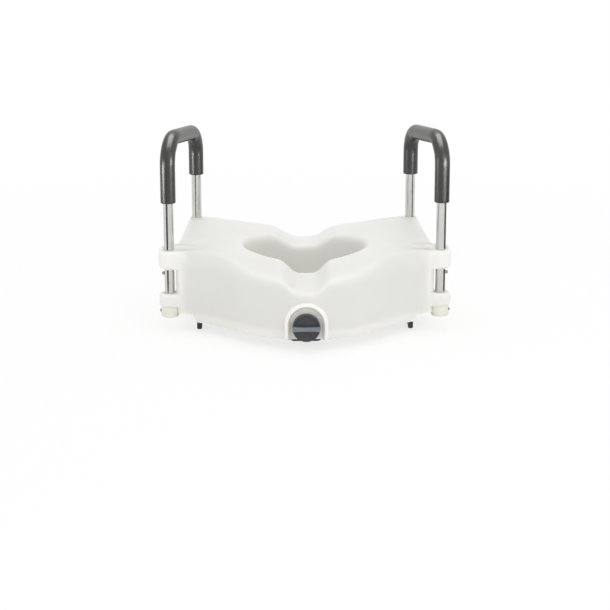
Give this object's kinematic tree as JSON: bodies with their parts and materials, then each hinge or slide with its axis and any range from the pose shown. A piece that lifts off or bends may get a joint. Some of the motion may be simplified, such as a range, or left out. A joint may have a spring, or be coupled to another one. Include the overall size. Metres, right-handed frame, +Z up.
{
  "type": "raised toilet seat",
  "caption": "White moulded raised toilet seat that clamps to the bowl with a front knob, with padded lift-off arms locked by snap buttons.",
  "frame": {"origin": "middle of the footprint, on the plane that the tabs and hooks stand on", "axes": "+X to the right of someone facing the knob, +Y from the knob towards the cistern, +Z up"},
  "size_m": [0.5516, 0.3838, 0.3755],
  "materials": {
    "seat_plastic": "warm white blow-moulded polyethylene, satin",
    "collar_plastic": "ivory moulded nylon",
    "dark_plastic": "black moulded plastic",
    "knob_plastic": "blue-black moulded knob, satin gloss",
    "pin_plastic": "dark brown moulded pin",
    "rubber": "dark rubber",
    "foam": "charcoal closed-cell foam with a soft sheen",
    "aluminium": "drawn and anodised, satin",
    "steel": "zinc plated"
  },
  "bodies": {
    "seat": {"seat_body": "seat_plastic", "thrust_bush": "dark_plastic", "thrust_washer": "steel", "lock_cover": "dark_plastic", "rim_pads": "rubber", "side_tab_screws": "steel", "rear_hook_screws": "steel", "lock_cover_screws": "steel", "left_leg_collar": "collar_plastic", "left_collar_pin": "pin_plastic", "left_rear_bush": "collar_plastic", "left_side_tab": "dark_plastic", "left_rear_hook": "dark_plastic", "right_leg_collar": "collar_plastic", "right_collar_pin": "pin_plastic", "right_rear_bush": "collar_plastic", "right_side_tab": "dark_plastic", "right_rear_hook": "dark_plastic"},
    "lock_screw": {"lead_screw": "steel", "lock_knob": "knob_plastic", "knob_roll_pin": "steel", "retaining_ring": "steel"},
    "jaw": {"jaw_slide": "dark_plastic", "travel_nut": "steel", "jaw_pad": "rubber"},
    "left_arm": {"left_arm_tube": "aluminium", "left_arm_grip": "foam", "left_leg_plugs": "dark_plastic"},
    "left_button": {"left_snap_clip": "steel"},
    "right_arm": {"right_arm_tube": "aluminium", "right_arm_grip": "foam", "right_leg_plugs": "dark_plastic"},
    "right_button": {"right_snap_clip": "steel"}
  },
  "joints": [
    {"name": "knob_turn", "type": "hinge", "parent": "seat", "child": "lock_screw", "pos_m": [0, -0.1719, 0.0435], "axis": [0, 1, 0], "range_deg": [-1440, 1440]},
    {"name": "jaw_travel", "type": "slide", "parent": "seat", "child": "jaw", "axis": [0, -1, 0], "range_m": [-0.012, 0.012]},
    {"name": "left_arm_lift", "type": "slide", "parent": "seat", "child": "left_arm", "axis": [0, 0, 1], "range_m": [0, 0.135]},
    {"name": "left_button_press", "type": "slide", "parent": "left_arm", "child": "left_button", "axis": [1, 0, 0], "range_m": [0, 0.0044], "stiffness_N_per_m": 1500, "deforming": ["left_snap_clip"]},
    {"name": "right_arm_lift", "type": "slide", "parent": "seat", "child": "right_arm", "axis": [0, 0, 1], "range_m": [0, 0.135]},
    {"name": "right_button_press", "type": "slide", "parent": "right_arm", "child": "right_button", "axis": [-1, 0, 0], "range_m": [0, 0.0044], "stiffness_N_per_m": 1500, "deforming": ["right_snap_clip"]}
  ],
  "couplings": [
    {"joint": "jaw_travel", "follows": "knob_turn", "m_per_rad": 0.00047746}
  ]
}
